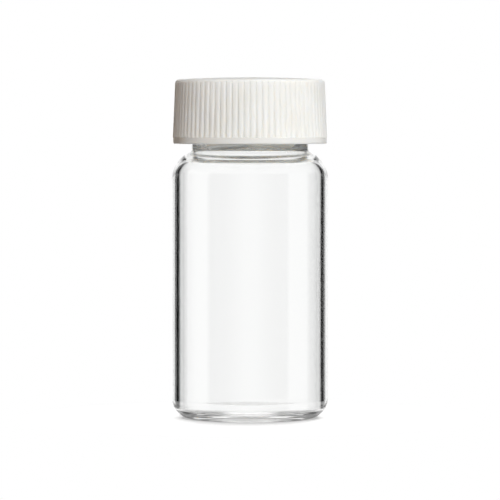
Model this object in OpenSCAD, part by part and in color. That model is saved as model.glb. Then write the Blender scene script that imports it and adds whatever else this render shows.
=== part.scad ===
// Glass sample vial with a ribbed screw cap and a flat sealing liner.
// Millimetres, +Z up, origin at the centre of the base, cap screwed home.

/* [Glass body] */
// Outer diameter of the body
body_d = 28; // [18:0.5:40]
// Height of the glass, from the base to the mouth
glass_h = 58.8; // [40:0.1:110]
// Thickness of the drawn tube that the body is made of
wall_t = 1.2; // [0.8:0.1:2]
// Thickness of the glass at the edge of the floor
floor_t = 1.6; // [1:0.1:3]

/* [Glass base] */
// Radius of the heel, between the base and the wall
heel_r = 3.5; // [1.5:0.1:4]
// Radius inside, between the floor and the wall
floor_r = 1; // [0.5:0.1:3]
// Diameter of the hollow under the base
pushup_d = 17; // [8:0.5:20]
// Height of the hollow under the base
pushup_h = 0.7; // [0.2:0.1:1.5]
// Height that the floor rises by at its centre
floor_rise = 0.4; // [0.1:0.1:1]

/* [Shoulder and neck] */
// Slope of the shoulder below the neck, from the level
shoulder_slope = 30; // [20:1:50]
// Outside radius where the wall turns into the shoulder
shoulder_r = 5; // [2:0.5:6]
// Inside radius where the wall turns into the shoulder
inner_shoulder_r = 3.2; // [1:0.1:5]
// Thickness of the glass at the shoulder
shoulder_t = 1.25; // [0.8:0.05:2.5]
// Outside diameter of the neck
neck_d = 20.9; // [14:0.1:30]
// Bore of the neck
neck_bore = 16.8; // [10:0.1:24]
// Height of the neck, from the shoulder to the mouth
neck_h = 10.75; // [8:0.05:16]
// Outside radius where the shoulder turns into the neck
neck_foot_r = 0.4; // [0.2:0.1:1.5]
// Inside radius where the shoulder turns into the bore
bore_foot_r = 4; // [0.5:0.1:5]
// Outside radius at the mouth
lip_outer_r = 0.8; // [0.3:0.1:1]
// Inside radius at the mouth
lip_inner_r = 0.6; // [0.3:0.1:1]

/* [Cap] */
// Height that a thread's crest stands out of the neck
thread_h = 1.3; // [0.8:0.1:2]
// Running gap between the thread's crest and the cap's wall
thread_gap = 0.3; // [0.1:0.05:0.6]
// Depth of the cap's skirt below the mouth
skirt_h = 9.5; // [7:0.1:12]
// Thickness of the cap's top at its edge
cap_top_t = 0.92; // [0.6:0.02:2]
// Thickness of the cap's wall at the open end, under the grip
cap_wall_t = 1.72; // [1.2:0.01:2.5]
// Height that the cap's top rises by at its centre
crown_h = 0.38; // [0:0.02:1]
// Radius round the cap's top edge
cap_edge_r = 0.75; // [0.3:0.05:1.2]
// Lean of the cap's wall, towards the top
cap_draft = 2.4; // [0.5:0.1:4]
// Radius inside the cap, under its top
cap_corner_r = 0.3; // [0.1:0.05:0.6]
// Radius on both edges of the cap's open end
skirt_edge_r = 0.2; // [0.05:0.05:0.5]

/* [Grip] */
// Number of ribs round the cap
rib_n = 78; // [48:1:96]
// Radius of a rib's round flank, as a share of the ribs' spacing
rib_round = 0.53; // [0.51:0.01:0.8]
// Width of a rib's flat top, as a share of the ribs' spacing
rib_flat = 0.26; // [0.15:0.01:0.5]
// How much less the grooves lean than the wall, so that they run out at the top edge
groove_runout = 0.6; // [0.2:0.1:1]
// Height of the plain band at the cap's open end
band_h = 1.05; // [0.5:0.05:3]
// Height that the ribs stand out from the plain band
band_step = 0.07; // [0.02:0.01:0.2]
// Thickness of the lip that the ribs stand on
band_lip = 0.15; // [0.05:0.05:0.5]

/* [Liner] */
// Thickness of the liner
liner_t = 1.1; // [0.5:0.1:2]
// Gap between the liner and the cap's wall
liner_gap = 0.45; // [0.2:0.05:1]

/* [Hidden] */
$fn = 96;
shallow_fn = 256;
corner_share = 0.75;

// Glass
body_r = body_d / 2;
inner_r = body_r - wall_t;
neck_r = neck_d / 2;
bore_r = neck_bore / 2;
neck_foot_z = glass_h - neck_h;
shoulder_z = neck_foot_z - (body_r - neck_r) * tan(shoulder_slope);
shoulder_drop = shoulder_t / cos(shoulder_slope);
bore_foot_z = neck_foot_z + (neck_r - bore_r) * tan(shoulder_slope) - shoulder_drop;
inner_shoulder_z = shoulder_z + wall_t * tan(shoulder_slope) - shoulder_drop;

// Cap
cap_bore_r = neck_r + thread_h + thread_gap;
ceiling_z = glass_h + liner_t;
cap_open_z = glass_h - skirt_h;
band_top_z = cap_open_z + band_h;
cap_rim_z = ceiling_z + cap_top_t;
band_r = cap_bore_r + cap_wall_t;
rib_foot_r = band_r + band_step;
rib_top_r = rib_foot_r - (cap_rim_z - band_top_z) * tan(cap_draft);
crown_r = rib_top_r - cap_edge_r;

// Grip
rib_pitch = 2 * PI * rib_foot_r / rib_n;
rib_r = rib_round * rib_pitch;
rib_crest = rib_r - sqrt(pow(rib_r, 2) - pow(rib_flat * rib_pitch / 2, 2));
rib_axis_r = rib_foot_r + rib_crest - rib_r;
groove_foot_z = band_top_z + band_lip;
groove_l = 2 * (cap_rim_z - groove_foot_z);
groove_w = 0.9 * rib_pitch;

function unit(v) = v / norm(v);

// Turn of the outline at corner b, positive where it turns to the left
function turn(a, b, c) = (b[0] - a[0]) * (c[1] - b[1]) - (b[1] - a[1]) * (c[0] - b[0]);

// Largest radius up to r that the corner a-b-c has room for
function fitting_r(a, b, c, r) =
    let (half = acos(unit(a - b) * unit(c - b)) / 2)
    min(r, corner_share * min(norm(a - b), norm(c - b)) * tan(half));

// Two tangent points, the centre and the corner itself, for radius r in the corner a-b-c
function corner_arc(a, b, c, r) =
    let (
        u = unit(a - b),
        v = unit(c - b),
        half = acos(u * v) / 2
    )
    [b + u * r / tan(half), b + v * r / tan(half), b + unit(u + v) * r / sin(half), b];

function xy(p) = [p[0], p[1]];

// An outline of [x, y, corner radius] points, listed with its inside on the left
module rounded_outline(points) {
    n = len(points);
    corners = [
        for (i = [0 : n - 1])
            let (
                a = xy(points[(i + n - 1) % n]),
                b = xy(points[i]),
                c = xy(points[(i + 1) % n]),
                r = points[i][2] > 0 ? fitting_r(a, b, c, points[i][2]) : 0
            )
            [corner_arc(a, b, c, r), r, turn(a, b, c)]
    ];
    difference() {
        union() {
            polygon([for (c = corners) each c[1] > 0 ? [c[0][0], c[0][1]] : [c[0][3]]]);
            for (c = corners)
                if (c[1] > 0 && c[2] > 0)
                    corner_segment(c[0], c[1]);
        }
        for (c = corners)
            if (c[1] > 0 && c[2] < 0)
                corner_segment(c[0], c[1]);
    }
}

// The sliver of circle between a corner's chord and its arc
module corner_segment(arc, r) {
    intersection() {
        polygon([arc[0], arc[3], arc[1]]);
        translate(arc[2])
            circle(r);
    }
}

// Half of a shallow dome's section: base radius r, height h, standing on the X axis
module dome_section(r, h) {
    dome_r = (r * r + h * h) / (2 * h);
    intersection() {
        translate([0, h - dome_r])
            circle(dome_r, $fn = shallow_fn);
        square([r, h]);
    }
}

// Glass, from the push-up under the base to the lip of the mouth, in one section
module vial() {
    color([0.86, 0.93, 0.93, 0.4])
        rotate_extrude()
            difference() {
                union() {
                    rounded_outline([
                        [0, 0, 0],
                        [body_r, 0, heel_r],
                        [body_r, shoulder_z, shoulder_r],
                        [neck_r, neck_foot_z, neck_foot_r],
                        [neck_r, glass_h, lip_outer_r],
                        [bore_r, glass_h, lip_inner_r],
                        [bore_r, bore_foot_z, bore_foot_r],
                        [inner_r, inner_shoulder_z, inner_shoulder_r],
                        [inner_r, floor_t, floor_r],
                        [0, floor_t, 0]
                    ]);
                    translate([0, floor_t])
                        dome_section(inner_r - floor_r, floor_rise);
                }
                dome_section(pushup_d / 2, pushup_h);
            }
}

// Sealing disc between the mouth and the cap's ceiling
module liner() {
    color([0.93, 0.92, 0.88])
        translate([0, 0, glass_h])
            cylinder(h = liner_t, r = cap_bore_r - liner_gap);
}

// Cap without its grip
module cap_blank() {
    rotate_extrude()
        union() {
            rounded_outline([
                [cap_bore_r, cap_open_z, skirt_edge_r],
                [band_r, cap_open_z, skirt_edge_r],
                [band_r, band_top_z, 0],
                [rib_foot_r, band_top_z, 0],
                [rib_top_r, cap_rim_z, cap_edge_r],
                [0, cap_rim_z, 0],
                [0, ceiling_z, 0],
                [cap_bore_r, ceiling_z, cap_corner_r]
            ]);
            translate([0, cap_rim_z])
                dome_section(crown_r, crown_h);
        }
}

// Space between two neighbouring ribs, which runs out through the top edge
module rib_groove() {
    translate([rib_foot_r, 0, groove_foot_z])
        rotate([0, groove_runout - cap_draft, 0])
            linear_extrude(groove_l)
                translate([-rib_foot_r, 0])
                    difference() {
                        translate([rib_axis_r, -groove_w / 2])
                            square([2 * rib_r, groove_w]);
                        for (side = [-1, 1])
                            translate([rib_axis_r, side * rib_pitch / 2])
                                circle(rib_r);
                    }
}

// Moulded cap: plain band, drafted grip with round ribs, and a crowned top
module screw_cap() {
    color([0.93, 0.93, 0.9])
        difference() {
            cap_blank();
            for (i = [0 : rib_n - 1])
                rotate((i + 0.5) * 360 / rib_n)
                    rib_groove();
        }
}

vial();
liner();
screw_cap();
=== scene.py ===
"""Glass sample vial: the finished glass, ribbed cap, threads and liner, and the stage they stand on.

Lengths are in metres. The pieces' lowest and highest points come from the packed frame, and their other sizes
are properties.
"""

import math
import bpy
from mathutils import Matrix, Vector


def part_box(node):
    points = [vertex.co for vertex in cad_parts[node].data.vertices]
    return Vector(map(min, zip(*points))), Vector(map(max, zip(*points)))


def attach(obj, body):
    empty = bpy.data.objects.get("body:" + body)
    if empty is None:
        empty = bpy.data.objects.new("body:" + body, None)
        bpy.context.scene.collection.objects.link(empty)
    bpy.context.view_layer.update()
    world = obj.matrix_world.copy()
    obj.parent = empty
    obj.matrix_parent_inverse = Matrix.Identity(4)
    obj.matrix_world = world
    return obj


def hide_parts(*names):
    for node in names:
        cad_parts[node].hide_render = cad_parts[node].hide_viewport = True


bl_info = {
    "name": "Glass Sample Vial",
    "version": (1, 0, 0),
    "blender": (4, 5, 0),
    "location": "View3D > Sidebar > Vial",
    "description": "Makes a glass vial with a ribbed screw cap, its threads, its liner and a studio stage",
    "category": "Object",
}

import bmesh
import bpy
from mathutils import Matrix, Vector

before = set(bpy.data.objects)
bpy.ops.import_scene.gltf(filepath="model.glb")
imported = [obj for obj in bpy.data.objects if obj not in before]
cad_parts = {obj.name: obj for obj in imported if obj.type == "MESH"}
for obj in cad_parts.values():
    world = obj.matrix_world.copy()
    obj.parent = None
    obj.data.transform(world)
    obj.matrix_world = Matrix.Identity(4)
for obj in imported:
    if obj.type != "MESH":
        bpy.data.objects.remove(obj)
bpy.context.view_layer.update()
VIAL_LOW, VIAL_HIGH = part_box("vial")
CAP_LOW, CAP_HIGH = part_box("screw_cap")
_, LINER_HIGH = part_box("liner")

BASE_Z = VIAL_LOW.z
MOUTH_Z = VIAL_HIGH.z
CEILING_Z = LINER_HIGH.z
CAP_OPEN_Z = CAP_LOW.z
CAP_TOP_Z = CAP_HIGH.z

MM = 0.001
MICRON = 0.001 * MM

# Faces: how many in a turn, how tall a row of them is, and how many round a corner
GLASS_STEPS = 256
STEPS_PER_RIB = 10
THREAD_STEPS = 180
NECK_ROW = 0.12 * MM
WALL_ROW = 2 * MM
GLASS_CORNER = 12
CAP_CORNER = 10

# Points closer than SAME_PLACE are one point; a skin moves only where it is CLEAR_OF the edges beside it
SAME_PLACE = MICRON
CLEAR_OF = 0.01 * MM


# Sizes and colours that a user would change


def length(name, description, value):
    return bpy.props.FloatProperty(
        name=name, description=description, default=value, min=0, unit="LENGTH", precision=5
    )


def slope(name, description, degrees):
    return bpy.props.FloatProperty(
        name=name, description=description, default=math.radians(degrees), unit="ROTATION"
    )


def amount(name, description, value, low=0.0, high=100.0):
    return bpy.props.FloatProperty(
        name=name, description=description, default=value, min=low, max=high
    )


def colour(name, description, value):
    return bpy.props.FloatVectorProperty(
        name=name, description=description, default=value, min=0, max=1, size=3, subtype="COLOR"
    )


class VialGlass(bpy.types.PropertyGroup):
    """Sizes and finish of the glass."""

    body_d: length("Body diameter", "Outer diameter of the body", 28 * MM)
    wall: length("Wall", "Thickness of the body's wall", 1.2 * MM)
    floor: length("Floor", "Thickness of the glass at the edge of the floor", 1.6 * MM)
    heel_r: length("Heel radius", "Radius between the base and the wall", 3.5 * MM)
    floor_r: length("Floor radius", "Radius between the floor and the wall, inside", 1 * MM)
    pushup_d: length("Hollow diameter", "Diameter of the hollow under the base", 17 * MM)
    pushup_h: length("Hollow height", "Height of the hollow under the base", 0.7 * MM)
    ring_r: length("Ring radius", "Radius on the inner edge of the ring that the vial stands on", 0.8 * MM)
    floor_rise: length("Floor rise", "Height that the floor rises by at its centre", 0.4 * MM)
    shoulder_slope: slope("Shoulder slope", "Slope of the shoulder below the neck", 30)
    shoulder_r: length("Shoulder radius", "Outside radius between the wall and the shoulder", 5 * MM)
    inner_shoulder_r: length("Inner shoulder radius", "Radius inside, from wall to shoulder", 3.2 * MM)
    shoulder_t: length("Shoulder wall", "Thickness of the glass at the shoulder", 1.25 * MM)
    neck_d: length("Neck diameter", "Outer diameter of the neck between the threads", 20.9 * MM)
    bore_d: length("Bore", "Bore of the neck", 16.8 * MM)
    neck_h: length("Neck height", "Height of the neck, from the shoulder to the mouth", 10.75 * MM)
    neck_foot_r: length("Neck foot radius", "Outside radius between the shoulder and the neck", 0.4 * MM)
    bore_foot_r: length("Bore foot radius", "Inside radius between the shoulder and the bore", 4 * MM)
    lip_outer_r: length("Outer lip radius", "Outside radius at the mouth", 0.8 * MM)
    lip_inner_r: length("Inner lip radius", "Inside radius at the mouth", 0.6 * MM)
    tint: colour("Tint", "Colour that the glass gives the light", (0.997, 1.0, 0.998))
    ior: amount("Refractive index", "Refractive index of the glass", 1.49, 1.0, 2.0)
    streaks: amount("Streaks", "Depth of the draw lines in the tube, in thousandths of a millimetre", 0.6)


class VialThread(bpy.types.PropertyGroup):
    """Sizes of the screw thread on the neck and in the cap."""

    pitch: length("Pitch", "Rise of the thread in one turn", 3.175 * MM)
    start_z: length("Start height", "Height above the base where the neck's thread starts", 53.0 * MM)
    neck_turns: amount("Neck turns", "Turns of thread on the neck", 1.25, 0.5, 3.0)
    neck_crest: length("Neck crest", "Height that the neck's thread stands out", 1.2 * MM)
    neck_half: length("Neck half width", "Half the width of the neck's thread at its foot", 0.95 * MM)
    cap_turns: amount("Cap turns", "Turns of thread in the cap", 1.0, 0.5, 3.0)
    cap_crest: length("Cap crest", "Height that the cap's thread stands in", 1.0 * MM)
    cap_half: length("Cap half width", "Half the width of the cap's thread at its foot", 0.6 * MM)
    run_out: slope("Run-out", "Turn over which a thread fades in and out", 40)


class VialCap(bpy.types.PropertyGroup):
    """Sizes and finish of the cap."""

    bore_r: length("Bore radius", "Radius of the cap's smooth inner wall", 12.05 * MM)
    wall: length("Wall", "Thickness of the wall at the open end", 1.72 * MM)
    rim: length("Top thickness", "Thickness of the cap's top at its edge", 0.92 * MM)
    edge_r: length("Top edge radius", "Radius round the top's edge", 0.75 * MM)
    corner_r: length("Inner corner radius", "Radius inside, under the top", 0.3 * MM)
    skirt_edge_r: length("Open edge radius", "Radius on both edges of the open end", 0.2 * MM)
    draft: slope("Draft", "Lean of the wall towards the top", 2.4)
    band_h: length("Band height", "Height of the plain band at the open end", 1.05 * MM)
    band_step: length("Band step", "Height that the ribs stand out from the band", 0.07 * MM)
    band_lip: length("Band lip", "Thickness of the lip that the ribs stand on", 0.15 * MM)
    ribs: bpy.props.IntProperty(name="Ribs", description="Number of ribs", default=78, min=12, max=120)
    rib_round: amount("Rib roundness", "Flank radius as a share of the ribs' spacing", 0.53, 0.51, 0.8)
    rib_flat: amount("Rib flat", "Width of a rib's top as a share of the spacing", 0.26, 0.0, 0.5)
    groove_fill: amount("Groove fill", "Share of a groove's depth that its round floor fills", 0.28, 0.0, 0.5)
    groove_runout: slope("Groove run-out", "How much less the grooves lean than the wall", 0.6)
    plastic: colour("Plastic", "Colour of the moulded plastic", (0.86, 0.855, 0.83))
    shade: colour("Plastic shade", "Colour of the plastic's faint mottling", (0.83, 0.82, 0.785))


class VialLiner(bpy.types.PropertyGroup):
    """Finish of the sealing liner."""

    foam: colour("Foam", "Colour of the liner", (0.86, 0.855, 0.83))
    speck: colour("Foam speck", "Colour of the liner's cells", (0.74, 0.73, 0.7))


class VialStage(bpy.types.PropertyGroup):
    """Camera, lamps and surround."""

    distance: length("Camera distance", "Distance of the camera from the vial's axis", 0.70)
    camera_z: length("Camera height", "Height of the camera", 0.0555)
    aim_z: length("Aim height", "Height on the vial's axis at the centre of the picture", 0.0302)
    frame_w: length("Frame width", "Width of the picture at the vial's axis", 0.08975)
    ambient: amount("Ambient", "Brightness of the surround on dull surfaces", 0.14)
    inner_ambient: amount("Inner ambient", "Brightness of the surround on dull surfaces behind glass", 1.4)
    key_power: amount("Key power", "Power of the front softbox in watts", 6.15)
    side_power: amount("Side power", "Power of the side softbox in watts", 1.85)


def settings(group):
    return getattr(bpy.context.scene, group)


# Outlines and turned shapes


def arc_points(radius, rise, z, count):
    """Points of a shallow dome's section, from its rim at height z to its top on the axis."""
    sphere = (radius**2 + rise**2) / (2 * rise)
    points = []
    for i in range(count + 1):
        r = radius * (1 - i / count)
        points.append((r, z + math.sqrt(sphere**2 - r**2) - sphere + rise, 0))
    return points


def tangent_length(before, corner, after, radius):
    """Distance from a corner to where a rounding of this radius starts."""
    a = (Vector(before) - Vector(corner)).normalized()
    b = (Vector(after) - Vector(corner)).normalized()
    return radius / math.tan(a.angle(b) / 2)


def outline(points, segments):
    """A wire of (radius, height, corner radius) points, its corners rounded and its long edges divided."""
    bm = bmesh.new()
    verts = [bm.verts.new((r, 0, z)) for r, z, _ in points]
    for a, b in zip(verts, verts[1:]):
        bm.edges.new((a, b))
    rounded = []
    for i in range(1, len(points) - 1):
        corner_r = points[i][2]
        if corner_r > 0:
            flat = [points[j][:2] for j in (i - 1, i, i + 1)]
            rounded.append((verts[i], tangent_length(*flat, corner_r)))
    for vert, offset in rounded:
        bmesh.ops.bevel(
            bm, geom=[vert], offset=offset, offset_type="OFFSET", segments=segments,
            profile=0.5, affect="VERTICES", clamp_overlap=False, material=-1,
        )
    bmesh.ops.remove_doubles(bm, verts=bm.verts[:], dist=SAME_PLACE)
    divide(bm, bm.edges[:], WALL_ROW)
    return bm


def divide(bm, edges, row):
    """Cuts each edge into pieces no longer than row."""
    for edge in edges:
        cuts = math.ceil(edge.calc_length() / row) - 1
        if cuts > 0:
            bmesh.ops.subdivide_edges(bm, edges=[edge], cuts=cuts)


def turn_outline(bm, steps):
    """Spins the wire round the vertical axis into a closed skin that faces outwards."""
    bmesh.ops.spin(
        bm, geom=bm.verts[:] + bm.edges[:], cent=(0, 0, 0), axis=(0, 0, 1),
        dvec=(0, 0, 0), angle=2 * math.pi, steps=steps, use_merge=True, use_duplicate=False,
    )
    bmesh.ops.remove_doubles(bm, verts=bm.verts[:], dist=SAME_PLACE)
    bmesh.ops.recalc_face_normals(bm, faces=bm.faces[:])


def finish_piece(bm, name, material, body, sharp_angle=None):
    """Makes the object, smooths it, and gives it its finish and the body that it rides on."""
    mesh = bpy.data.meshes.new(name)
    bm.to_mesh(mesh)
    bm.free()
    mesh.shade_smooth()
    if sharp_angle is not None:
        mesh.set_sharp_from_angle(angle=sharp_angle)
    mesh.materials.append(material)
    piece = bpy.data.objects.new(name, mesh)
    bpy.context.scene.collection.objects.link(piece)
    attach(piece, body)
    return piece


def fade(share, turns, run_out):
    """How tall a thread is at a share of its length: nothing at its ends, and 1 between its run-outs."""
    angle = 2 * math.pi * turns * min(share, 1 - share)
    return math.sin(math.pi / 2 * min(1, max(0, angle / run_out)))


# How the neck's thread bulges across its width: 0.5 is an ellipse and 1 is a parabola
NECK_THREAD_BULGE = 0.75


def raise_thread(bm, glass, thread):
    """Raises the screw thread on the neck's plain wall."""
    neck_r = glass.neck_d / 2
    for vert in bm.verts:
        if abs(math.hypot(vert.co.x, vert.co.y) - neck_r) > SAME_PLACE:
            continue
        turned = math.atan2(vert.co.y, vert.co.x) % (2 * math.pi) / (2 * math.pi)
        crest = 0
        while turned <= thread.neck_turns:
            offset = abs(vert.co.z - thread.start_z - turned * thread.pitch) / thread.neck_half
            if offset < 1:
                height = fade(turned / thread.neck_turns, thread.neck_turns, thread.run_out)
                crest = max(crest, height * (1 - offset**2) ** NECK_THREAD_BULGE)
            turned += 1
        scale = 1 + crest * thread.neck_crest / neck_r
        vert.co.x *= scale
        vert.co.y *= scale


# Materials


def new_material(name):
    """A material, its nodes and its shader."""
    material = bpy.data.materials.new(name)
    material.use_nodes = True
    tree = material.node_tree
    return material, tree, tree.nodes["Principled BSDF"]


def pattern_coordinates(tree, scale=(1, 1, 1)):
    """The piece's own coordinates, stretched by scale."""
    coordinates = tree.nodes.new("ShaderNodeTexCoord")
    mapping = tree.nodes.new("ShaderNodeMapping")
    mapping.inputs["Scale"].default_value = scale
    tree.links.new(coordinates.outputs["Object"], mapping.inputs["Vector"])
    return mapping.outputs["Vector"]


def noise(tree, vector, scale, detail):
    """Cloudy pattern with scale features to a metre."""
    texture = tree.nodes.new("ShaderNodeTexNoise")
    texture.inputs["Scale"].default_value = scale
    texture.inputs["Detail"].default_value = detail
    tree.links.new(vector, texture.inputs["Vector"])
    return texture.outputs["Fac"]


def bump(tree, height, distance, under=None):
    """Relief as deep as distance, on top of the relief under it."""
    node = tree.nodes.new("ShaderNodeBump")
    node.inputs["Distance"].default_value = distance
    node.inputs["Strength"].default_value = 1
    tree.links.new(height, node.inputs["Height"])
    if under is not None:
        tree.links.new(under, node.inputs["Normal"])
    return node.outputs["Normal"]


def blend_colours(tree, factor, first, second):
    """Runs from the first colour to the second over the middle of a pattern's range."""
    ramp = tree.nodes.new("ShaderNodeValToRGB")
    low, high = ramp.color_ramp.elements
    low.position, high.position = 0.35, 0.65
    low.color, high.color = (*first, 1), (*second, 1)
    tree.links.new(factor, ramp.inputs["Fac"])
    return ramp.outputs["Color"]


def spread(tree, factor, low, high):
    """A value between low and high that follows a pattern."""
    node = tree.nodes.new("ShaderNodeMapRange")
    node.inputs["To Min"].default_value = low
    node.inputs["To Max"].default_value = high
    tree.links.new(factor, node.inputs["Value"])
    return node.outputs["Result"]


def clear_glass(glass):
    """Clear drawn tube: upright draw lines, a slow wave, and a trace of haze."""
    material, tree, shader = new_material("drawn_glass")
    shader.inputs["Base Color"].default_value = (*glass.tint, 1)
    shader.inputs["IOR"].default_value = glass.ior
    shader.inputs["Transmission Weight"].default_value = 1
    lines = noise(tree, pattern_coordinates(tree, (1, 1, 0.04)), scale=900, detail=2)
    waves = noise(tree, pattern_coordinates(tree, (1, 1, 0.5)), scale=120, detail=1)
    haze = noise(tree, pattern_coordinates(tree), scale=250, detail=4)
    line_depth = glass.streaks * MICRON
    wave_depth = 20 * line_depth
    normal = bump(tree, lines, line_depth, under=bump(tree, waves, wave_depth))
    tree.links.new(normal, shader.inputs["Normal"])
    tree.links.new(spread(tree, haze, low=0, high=0.02), shader.inputs["Roughness"])
    return material


def moulded_plastic(cap):
    """White moulded plastic: soft light under the skin, faint mottling and a fine moulded grain."""
    material, tree, shader = new_material("moulded_plastic")
    shader.inputs["IOR"].default_value = 1.5
    shader.inputs["Subsurface Weight"].default_value = 1
    shader.inputs["Subsurface Radius"].default_value = (1.0, 0.95, 0.88)
    shader.inputs["Subsurface Scale"].default_value = 1.3 * MM
    mottle = noise(tree, pattern_coordinates(tree), scale=180, detail=4)
    tree.links.new(blend_colours(tree, mottle, cap.shade, cap.plastic), shader.inputs["Base Color"])
    flow = noise(tree, pattern_coordinates(tree, (1, 1, 0.3)), scale=500, detail=2)
    grain = noise(tree, pattern_coordinates(tree), scale=6000, detail=3)
    normal = bump(tree, grain, 2 * MICRON, under=bump(tree, flow, 20 * MICRON))
    tree.links.new(normal, shader.inputs["Normal"])
    tree.links.new(spread(tree, grain, low=0.38, high=0.5), shader.inputs["Roughness"])
    return material


def liner_foam(liner):
    """Closed-cell foam sheet."""
    material, tree, shader = new_material("sealing_foam")
    cells = noise(tree, pattern_coordinates(tree), scale=3500, detail=3)
    tree.links.new(blend_colours(tree, cells, liner.speck, liner.foam), shader.inputs["Base Color"])
    tree.links.new(bump(tree, cells, 30 * MICRON), shader.inputs["Normal"])
    shader.inputs["Roughness"].default_value = 0.75
    return material


# The pieces


class VIAL_OT_glass(bpy.types.Operator):
    """Turn the glass in one section, from the hollow under its base to its lip, with a threaded neck"""

    bl_idname = "vial.glass"
    bl_label = "Glass"

    def execute(self, context):
        glass = settings("vial_glass")
        bm = outline(self.section(glass), GLASS_CORNER)
        neck_r = glass.neck_d / 2
        neck = [e for e in bm.edges if all(abs(v.co.x - neck_r) < SAME_PLACE for v in e.verts)]
        divide(bm, neck, NECK_ROW)
        turn_outline(bm, GLASS_STEPS)
        raise_thread(bm, glass, settings("vial_thread"))
        piece = finish_piece(bm, "glass_vial", clear_glass(glass), "vial")
        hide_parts("vial")
        # The floor's material holds a painted shade in place of the faint shadow that the glass would cast
        piece.visible_shadow = False
        return {"FINISHED"}

    def section(self, glass):
        """The outline from the top of the hollow under the base, up the outside and down to the floor."""
        body_r = glass.body_d / 2
        inner_r = body_r - glass.wall
        neck_r = glass.neck_d / 2
        bore_r = glass.bore_d / 2
        lean = math.tan(glass.shoulder_slope)
        drop = glass.shoulder_t / math.cos(glass.shoulder_slope)
        neck_foot_z = MOUTH_Z - glass.neck_h
        shoulder_z = neck_foot_z - (body_r - neck_r) * lean
        bore_foot_z = neck_foot_z + (neck_r - bore_r) * lean - drop
        inner_shoulder_z = shoulder_z + glass.wall * lean - drop
        floor_z = BASE_Z + glass.floor
        rise_r = inner_r - 1.1 * glass.floor_r
        hollow = arc_points(glass.pushup_d / 2, glass.pushup_h, BASE_Z, count=10)[::-1]
        ring = [(glass.pushup_d / 2, BASE_Z, glass.ring_r)]
        rise = arc_points(rise_r, glass.floor_rise, floor_z, count=10)
        wall = [
            (body_r, BASE_Z, glass.heel_r),
            (body_r, shoulder_z, glass.shoulder_r),
            (neck_r, neck_foot_z, glass.neck_foot_r),
            (neck_r, MOUTH_Z, glass.lip_outer_r),
            (bore_r, MOUTH_Z, glass.lip_inner_r),
            (bore_r, bore_foot_z, glass.bore_foot_r),
            (inner_r, inner_shoulder_z, glass.inner_shoulder_r),
            (inner_r, floor_z, glass.floor_r),
        ]
        return hollow[:-1] + ring + wall + rise


class VIAL_OT_cap(bpy.types.Operator):
    """Turn the cap and press the grooves between its ribs"""

    bl_idname = "vial.cap"
    bl_label = "Screw cap"

    def execute(self, context):
        cap = settings("vial_cap")
        band_top_z = CAP_OPEN_Z + cap.band_h
        groove_z = band_top_z + cap.band_lip
        rib_foot_r = cap.bore_r + cap.wall + cap.band_step
        bm = outline(self.section(cap, band_top_z, groove_z, rib_foot_r), CAP_CORNER)
        turn_outline(bm, cap.ribs * STEPS_PER_RIB)
        self.press_grooves(bm, cap, groove_z, rib_foot_r)
        bmesh.ops.recalc_face_normals(bm, faces=bm.faces[:])
        piece = finish_piece(
            bm, "ribbed_cap", moulded_plastic(cap), "cap", math.radians(55)
        )
        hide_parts("screw_cap")
        return {"FINISHED"}

    def section(self, cap, band_top_z, groove_z, rib_foot_r):
        """The outline from the ceiling's centre, down the bore and up the outside to the crown."""
        rim_z = CEILING_Z + cap.rim
        band_r = cap.bore_r + cap.wall
        lean = math.tan(cap.draft)
        rib_top_r = rib_foot_r - (rim_z - band_top_z) * lean
        lip_r = rib_foot_r - cap.band_lip * lean
        crown_r = rib_top_r - 1.05 * cap.edge_r
        crown = arc_points(crown_r, CAP_TOP_Z - rim_z, rim_z, count=8)
        edge = 0.02 * MM
        return [
            (0, CEILING_Z, 0),
            (cap.bore_r, CEILING_Z, cap.corner_r),
            (cap.bore_r, CAP_OPEN_Z, cap.skirt_edge_r),
            (band_r, CAP_OPEN_Z, cap.skirt_edge_r),
            (band_r, band_top_z, edge),
            (rib_foot_r, band_top_z, edge),
            (lip_r, groove_z, 0),
            (lip_r, groove_z + edge, 0),
            (rib_top_r, rim_z, cap.edge_r),
        ] + crown

    def press_grooves(self, bm, cap, groove_z, rib_foot_r):
        """Moves the skin between two ribs inwards, to a floor that runs out at the top edge."""
        spacing = 2 * math.pi * rib_foot_r / cap.ribs
        flank_r = cap.rib_round * spacing
        crest = flank_r - math.sqrt(flank_r**2 - (cap.rib_flat * spacing / 2) ** 2)
        deepest = flank_r - math.sqrt(flank_r**2 - (spacing / 2) ** 2) - crest
        floor_lean = math.tan(cap.draft - cap.groove_runout)
        for vert in bm.verts:
            radius = math.hypot(vert.co.x, vert.co.y)
            if vert.co.z < groove_z + CLEAR_OF or radius < cap.bore_r + CLEAR_OF:
                continue
            phase = math.atan2(vert.co.y, vert.co.x) * cap.ribs / (2 * math.pi)
            across = abs(phase - round(phase)) * spacing
            depth = flank_r - math.sqrt(flank_r**2 - across**2) - crest
            depth = min(depth, deepest * (1 - cap.groove_fill))
            floor_r = rib_foot_r - (vert.co.z - groove_z) * floor_lean - depth
            if depth > 0 and floor_r < radius:
                vert.co.x *= floor_r / radius
                vert.co.y *= floor_r / radius


# The cap thread's outline, as shares of its crest and of its half width. Its back lies THREAD_SUNK inside the
# cap's wall, and its ends keep SUNK_SHARE of the crest, which the wall hides.
THREAD_OUTLINE = ((0, 1), (0.55, 0.85), (1, 0.4), (1, -0.4), (0.55, -0.85), (0, -1))
THREAD_SUNK = 0.1 * MM
SUNK_SHARE = 0.05


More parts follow.
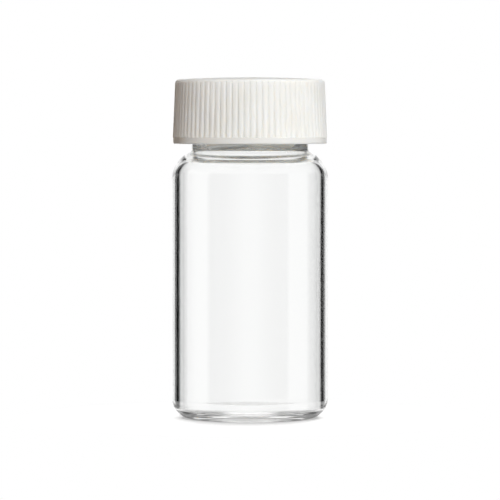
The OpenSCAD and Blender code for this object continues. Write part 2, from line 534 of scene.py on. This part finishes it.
class VIAL_OT_cap_thread(bpy.types.Operator):
    """Sweep the thread round the cap's inner wall, half a pitch below the neck's thread"""

    bl_idname = "vial.cap_thread"
    bl_label = "Cap thread"

    def execute(self, context):
        cap = settings("vial_cap")
        thread = settings("vial_thread")
        root_r = cap.bore_r + THREAD_SUNK
        # The sweep starts a quarter turn round from where the neck's thread does
        start_z = thread.start_z - thread.pitch / 2 + thread.pitch / 4
        steps = round(THREAD_STEPS * thread.cap_turns)
        bm = bmesh.new()
        verts = [
            bm.verts.new((0, root_r - depth * thread.cap_crest, start_z + height * thread.cap_half))
            for depth, height in THREAD_OUTLINE
        ]
        edges = [bm.edges.new(pair) for pair in zip(verts, verts[1:] + verts[:1])]
        bmesh.ops.spin(
            bm, geom=verts + edges, cent=(0, 0, 0), axis=(0, 0, 1),
            dvec=(0, 0, thread.pitch * thread.cap_turns / steps),
            angle=2 * math.pi * thread.cap_turns, steps=steps, use_duplicate=False,
        )
        self.taper(bm, thread, root_r, start_z)
        bmesh.ops.holes_fill(bm, edges=bm.edges[:], sides=0)
        bmesh.ops.recalc_face_normals(bm, faces=bm.faces[:])
        finish_piece(bm, "cap_thread", bpy.data.materials["moulded_plastic"], "cap")
        return {"FINISHED"}

    def taper(self, bm, thread, root_r, start_z):
        """Sinks the thread's two ends into the wall."""
        for vert in bm.verts:
            radius = math.hypot(vert.co.x, vert.co.y)
            turned = (math.atan2(vert.co.y, vert.co.x) - math.pi / 2) % (2 * math.pi)
            height = fade(turned / (2 * math.pi * thread.cap_turns), thread.cap_turns, thread.run_out)
            # The sweep's last row comes round to the angle of its first
            late = vert.co.z - start_z > thread.pitch * (thread.cap_turns - 0.25)
            if late and turned < math.pi / 2:
                height = 0
            new_r = root_r - (root_r - radius) * max(height, SUNK_SHARE)
            vert.co.x *= new_r / radius
            vert.co.y *= new_r / radius


class VIAL_OT_liner(bpy.types.Operator):
    """Give the sealing liner its foam"""

    bl_idname = "vial.liner"
    bl_label = "Liner"

    def execute(self, context):
        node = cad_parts["liner"]
        foam = liner_foam(settings("vial_liner"))
        for slot in node.material_slots:
            slot.material = foam
        return {"FINISHED"}


# The stage


class Wiring:
    """Short calls for a tree of math nodes."""

    def __init__(self, tree):
        self.tree = tree

    def node(self, kind, **inputs):
        """The first output of a new node with these inputs."""
        node = self.tree.nodes.new(kind)
        for name, value in inputs.items():
            self.plug(node.inputs[name.replace("_", " ")], value)
        return node.outputs[0]

    def plug(self, socket, value):
        """Sets a socket to a value, or links it to another node's output."""
        if isinstance(value, bpy.types.NodeSocket):
            self.tree.links.new(value, socket)
        else:
            socket.default_value = value

    def math(self, operation, first, second=0.0):
        node = self.tree.nodes.new("ShaderNodeMath")
        node.operation = operation
        self.plug(node.inputs[0], first)
        self.plug(node.inputs[1], second)
        return node.outputs[0]

    def step(self, value, low, high):
        """0 below low, 1 above high, and smooth between."""
        node = self.tree.nodes.new("ShaderNodeMapRange")
        node.interpolation_type = "SMOOTHSTEP"
        self.plug(node.inputs["Value"], value)
        node.inputs["From Min"].default_value = low
        node.inputs["From Max"].default_value = high
        return node.outputs["Result"]

    def mix(self, factor, first, second):
        """The first value where factor is 0, and the second where it is 1."""
        node = self.tree.nodes.new("ShaderNodeMix")
        self.plug(node.inputs[0], factor)
        self.plug(node.inputs[2], first)
        self.plug(node.inputs[3], second)
        return node.outputs[0]


def cosine(degrees):
    return math.cos(math.radians(degrees))


# Least value of a number that others are divided by
NOT_ZERO = 0.0001

# What the glass shows: widths as degrees from the middle to where it is black and where it is full,
# heights as the sine of the elevation, and brightness where 1 is white
BACKDROP_TURN = 1
BACKDROP_WIDTH = (25, 23)
ROOM_WIDTH = (90, 50)
ROOM_LIGHT = 0.65
BELOW = (-0.25, -0.15)
BELOW_LIGHT = 0.9
ABOVE = (0.3, 0.5)
ABOVE_LIGHT = 0.6

# What lights dull surfaces: each span is where the light starts and where it is full
OVERHEAD = (0.5, 0.8)
OVERHEAD_LIGHT = 0.55
FROM_LEFT = (-0.9, 0.1)
FROM_BEHIND = (0.7, 1)
BEHIND_LIGHT = 1.4
LOW_LIGHT_TOP = 0.1


def studio_surround(ambient, inner_ambient):
    """A fixed surround: white behind and at the left, dimmer at the front right, and black between.

    The black draws the edges of the glass. Dull surfaces are lit more evenly, and straight at the camera it
    is plain white.
    """
    world = bpy.data.worlds.new("studio_surround")
    world.use_nodes = True
    bpy.context.scene.world = world
    tree = world.node_tree
    wiring = Wiring(tree)
    coordinates = tree.nodes.new("ShaderNodeTexCoord")
    parts = tree.nodes.new("ShaderNodeSeparateXYZ")
    tree.links.new(coordinates.outputs["Generated"], parts.inputs[0])
    x, y, z = parts.outputs
    level = wiring.math("SQRT", wiring.math("SUBTRACT", 1, wiring.math("MULTIPLY", z, z)))
    level = wiring.math("MAXIMUM", level, NOT_ZERO)
    east = wiring.math("DIVIDE", x, level)
    north = wiring.math("DIVIDE", y, level)
    corner = wiring.math("MULTIPLY", wiring.math("SUBTRACT", east, north), math.sqrt(0.5))

    behind = wiring.math("MULTIPLY", east, math.sin(math.radians(BACKDROP_TURN)))
    behind = wiring.math("ADD", behind, wiring.math("MULTIPLY", north, cosine(BACKDROP_TURN)))
    beside = wiring.math("MULTIPLY", east, -1)
    backdrop = wiring.step(wiring.math("MAXIMUM", behind, beside), *map(cosine, BACKDROP_WIDTH))
    room = wiring.math("MULTIPLY", wiring.step(corner, *map(cosine, ROOM_WIDTH)), ROOM_LIGHT)
    at_eye_level = wiring.math("MAXIMUM", backdrop, room)
    seen = wiring.mix(wiring.step(z, *BELOW), BELOW_LIGHT, at_eye_level)
    seen = wiring.mix(wiring.step(z, *ABOVE), seen, ABOVE_LIGHT)
    rays = tree.nodes.new("ShaderNodeLightPath")
    behind_glass = wiring.math("MINIMUM", rays.outputs["Transmission Depth"], 1)
    scattered = wiring.math("MINIMUM", rays.outputs["Diffuse Depth"], 1)
    from_below = wiring.math("MULTIPLY", behind_glass, wiring.math("LESS_THAN", z, LOW_LIGHT_TOP))
    soft = wiring.mix(wiring.step(z, *OVERHEAD), ambient, OVERHEAD_LIGHT)
    soft = wiring.math("MULTIPLY", soft, wiring.step(x, *FROM_LEFT))
    at_back = wiring.math("MULTIPLY", wiring.step(y, *FROM_BEHIND), BEHIND_LIGHT)
    soft = wiring.math("MAXIMUM", soft, at_back)
    seen = wiring.mix(scattered, seen, wiring.mix(from_below, soft, inner_ambient))
    seen = wiring.mix(rays.outputs["Is Camera Ray"], seen, 1.0)
    tree.links.new(seen, tree.nodes["Background"].inputs["Color"])


# Near the vial the floor is matt, and is lifted towards white straight at the camera and in the glass.
# Between these distances from the axis, FLOOR_EDGE, it fades to plain white.
FLOOR_HALF = 4
FLOOR_TONE = 0.9
FLOOR_EDGE = (0.028, 0.042)
LIFT = 0.5
LIFT_IN_GLASS = 0.25


def white_floor():
    """Floor with a painted shade round the vial's foot, which fades to plain white round it."""
    bm = bmesh.new()
    bmesh.ops.create_grid(bm, x_segments=1, y_segments=1, size=FLOOR_HALF)
    mesh = bpy.data.meshes.new("floor")
    bm.to_mesh(mesh)
    bm.free()
    floor = bpy.data.objects.new("floor", mesh)
    bpy.context.scene.collection.objects.link(floor)

    material, tree, shader = new_material("floor_white")
    tree.nodes.remove(shader)
    wiring = Wiring(tree)
    coordinates = tree.nodes.new("ShaderNodeTexCoord")
    distance = tree.nodes.new("ShaderNodeVectorMath")
    distance.operation = "LENGTH"
    tree.links.new(coordinates.outputs["Object"], distance.inputs[0])
    rays = tree.nodes.new("ShaderNodeLightPath")
    direct = rays.outputs["Is Camera Ray"]
    # A painted shade round the foot darkens both the floor's tone and its glow
    shade = painted_foot_shade(wiring, tree, coordinates.outputs["Object"], direct)
    tone = tree.nodes.new("ShaderNodeCombineXYZ")
    for socket in tone.inputs:
        tree.links.new(wiring.math("MULTIPLY", shade, FLOOR_TONE), socket)
    matt = wiring.node("ShaderNodeBsdfDiffuse", Color=tone.outputs[0])
    lifted = wiring.mix(direct, LIFT_IN_GLASS, LIFT)
    lifted = wiring.math("SUBTRACT", lifted, rays.outputs["Is Diffuse Ray"])
    glow = wiring.math("MULTIPLY", wiring.math("MAXIMUM", lifted, 0), shade)
    lift = wiring.node("ShaderNodeEmission", Strength=glow)
    near = shaders(tree, "ShaderNodeAddShader", matt, lift)
    plain_white = wiring.node("ShaderNodeEmission", Color=(1, 1, 1, 1), Strength=1.0)
    gone = wiring.node("ShaderNodeBsdfTransparent")
    beyond = shaders(tree, "ShaderNodeMixShader", gone, plain_white, rays.outputs["Is Camera Ray"])
    edge = wiring.step(distance.outputs["Value"], *FLOOR_EDGE)
    surface = shaders(tree, "ShaderNodeMixShader", near, beyond, edge)
    tree.links.new(surface, tree.nodes["Material Output"].inputs["Surface"])
    mesh.materials.append(material)


# Where the painted shade round the foot starts, from the axis, and how wide it is. At the sides it starts
# further out, and in front and behind it is wider.
SHADE_START = 10.8 * MM
SHADE_START_AT_SIDE = 1.3 * MM
SHADE_WIDTH = 2.3 * MM
SHADE_WIDTH_IN_FRONT = 12.6 * MM
# How deep the painted shade is straight at the camera, and how deep it is through the glass at the left and
# right, where it deepens over CORNER_SPAN from the middle line
SHADE_DEPTH = 0.5
CORNER_SHADE = 0.75
CORNER_SPAN = (3 * MM, 6 * MM)


def painted_foot_shade(wiring, tree, place, direct):
    """The painted shade round the foot, in place of the shadow that the glass itself doesn't cast: longest in
    front and behind.

    Through the glass the painted shade is deeper at the left and right, which darkens the corners of the
    base.
    """
    parts = tree.nodes.new("ShaderNodeSeparateXYZ")
    tree.links.new(place, parts.inputs[0])
    x, y, _ = parts.outputs
    square = wiring.math("ADD", wiring.math("MULTIPLY", x, x), wiring.math("MULTIPLY", y, y))
    radius = wiring.math("MAXIMUM", wiring.math("SQRT", square), NOT_ZERO)
    front = wiring.math("ABSOLUTE", wiring.math("DIVIDE", y, radius))
    side = wiring.math("SUBTRACT", 1, wiring.math("MULTIPLY", front, front))
    start = wiring.math("MULTIPLY", wiring.math("POWER", side, 2), SHADE_START_AT_SIDE)
    start = wiring.math("ADD", start, SHADE_START)
    width = wiring.math("MULTIPLY", wiring.math("POWER", front, 3), SHADE_WIDTH_IN_FRONT)
    width = wiring.math("ADD", width, SHADE_WIDTH)
    out = wiring.math("DIVIDE", wiring.math("SUBTRACT", radius, start), width)
    out = wiring.math("MINIMUM", wiring.math("MAXIMUM", out, 0), 1)
    depth = wiring.math("POWER", wiring.math("SUBTRACT", 1, out), 2)
    at_sides = wiring.step(wiring.math("ABSOLUTE", x), *CORNER_SPAN)
    deepest = wiring.mix(direct, wiring.math("MULTIPLY", at_sides, CORNER_SHADE), SHADE_DEPTH)
    return wiring.math("SUBTRACT", 1, wiring.math("MULTIPLY", depth, deepest))


def shaders(tree, kind, first, second, factor=None):
    """Adds or mixes two shaders."""
    node = tree.nodes.new(kind)
    sockets = [s for s in node.inputs if s.type == "SHADER"]
    tree.links.new(first, sockets[0])
    tree.links.new(second, sockets[1])
    if factor is not None:
        tree.links.new(factor, node.inputs[0])
    return node.outputs[0]


def softbox(name, place, aim, size, power, tone=(1, 1, 1)):
    """A lamp that lights the pieces and shows neither in the glass nor in gloss."""
    lamp = bpy.data.lights.new(name, "AREA")
    lamp.shape = "RECTANGLE"
    lamp.size, lamp.size_y = size
    lamp.energy = power
    lamp.color = tone
    holder = bpy.data.objects.new(name, lamp)
    holder.location = place
    holder.rotation_euler = (Vector(aim) - Vector(place)).to_track_quat("-Z", "Y").to_euler()
    holder.visible_glossy = False
    holder.visible_transmission = False
    bpy.context.scene.collection.objects.link(holder)


def studio_camera(stage):
    """The camera, level with the upper part of the vial."""
    camera = bpy.data.cameras.new("camera")
    camera.sensor_width = 36
    camera.lens = camera.sensor_width * stage.distance / stage.frame_w
    camera.clip_start = 0.05
    holder = bpy.data.objects.new("camera", camera)
    place = Vector((0, -stage.distance, stage.camera_z))
    look = (Vector((0, 0, stage.aim_z)) - place).to_track_quat("-Z", "Y").to_matrix().to_4x4()
    holder.matrix_world = Matrix.Translation(place) @ look
    bpy.context.scene.collection.objects.link(holder)
    bpy.context.scene.camera = holder


# The lamps, and how often light may turn on its way through the glass
SOFTBOX_SIZE = (0.5, 0.6)
FRONT_PLACE = (0.16, -0.745, 0.3)
SIDE_PLACE = (0.77, 0.05, 0.25)
WARM_PLACE = (-0.77, 0.05, 0.1)
WARM_SIZE = (0.3, 0.3)
WARM_POWER = 0.5
WARM_TONE = (1.0, 0.5, 0.1)
LIGHT_BOUNCES = 40


class VIAL_OT_stage(bpy.types.Operator):
    """Set the floor, the surround, the softboxes and the camera"""

    bl_idname = "vial.stage"
    bl_label = "Stage"

    def execute(self, context):
        stage = settings("vial_stage")
        context.scene.view_settings.view_transform = "Standard"
        self.follow_light(context.scene.cycles)
        middle = (0, 0, (BASE_Z + CAP_TOP_Z) / 2)
        studio_surround(stage.ambient, stage.inner_ambient)
        white_floor()
        softbox("front_softbox", FRONT_PLACE, middle, SOFTBOX_SIZE, stage.key_power)
        softbox("side_softbox", SIDE_PLACE, middle, SOFTBOX_SIZE, stage.side_power)
        softbox("warm_fill", WARM_PLACE, middle, WARM_SIZE, WARM_POWER, WARM_TONE)
        studio_camera(stage)
        return {"FINISHED"}

    def follow_light(self, cycles):
        """Follows the light as far as it runs along inside the glass wall."""
        cycles.max_bounces = LIGHT_BOUNCES
        cycles.glossy_bounces = LIGHT_BOUNCES
        cycles.transmission_bounces = LIGHT_BOUNCES


class VIAL_PT_panel(bpy.types.Panel):
    """Lists the vial's pieces and its stage"""

    bl_idname = "VIAL_PT_panel"
    bl_label = "Glass Sample Vial"
    bl_space_type = "VIEW_3D"
    bl_region_type = "UI"
    bl_category = "Vial"

    def draw(self, context):
        for operator in OPERATORS:
            self.layout.operator(operator.bl_idname)
        for name, group in GROUPS.items():
            box = self.layout.box()
            box.label(text=group.__doc__)
            for field in group.__annotations__:
                box.prop(getattr(context.scene, name), field)


GROUPS = {
    "vial_glass": VialGlass,
    "vial_thread": VialThread,
    "vial_cap": VialCap,
    "vial_liner": VialLiner,
    "vial_stage": VialStage,
}
OPERATORS = (VIAL_OT_glass, VIAL_OT_cap, VIAL_OT_cap_thread, VIAL_OT_liner, VIAL_OT_stage)


def register():
    for group in (*GROUPS.values(), *OPERATORS, VIAL_PT_panel):
        bpy.utils.register_class(group)
    for name, group in GROUPS.items():
        setattr(bpy.types.Scene, name, bpy.props.PointerProperty(type=group))


def unregister():
    for name in GROUPS:
        delattr(bpy.types.Scene, name)
    for group in (VIAL_PT_panel, *reversed(OPERATORS), *reversed(GROUPS.values())):
        bpy.utils.unregister_class(group)


def main():
    register()
    bpy.ops.vial.glass()
    bpy.ops.vial.cap()
    bpy.ops.vial.cap_thread()
    bpy.ops.vial.liner()
    bpy.ops.vial.stage()


if __name__ == "__main__":
    main()
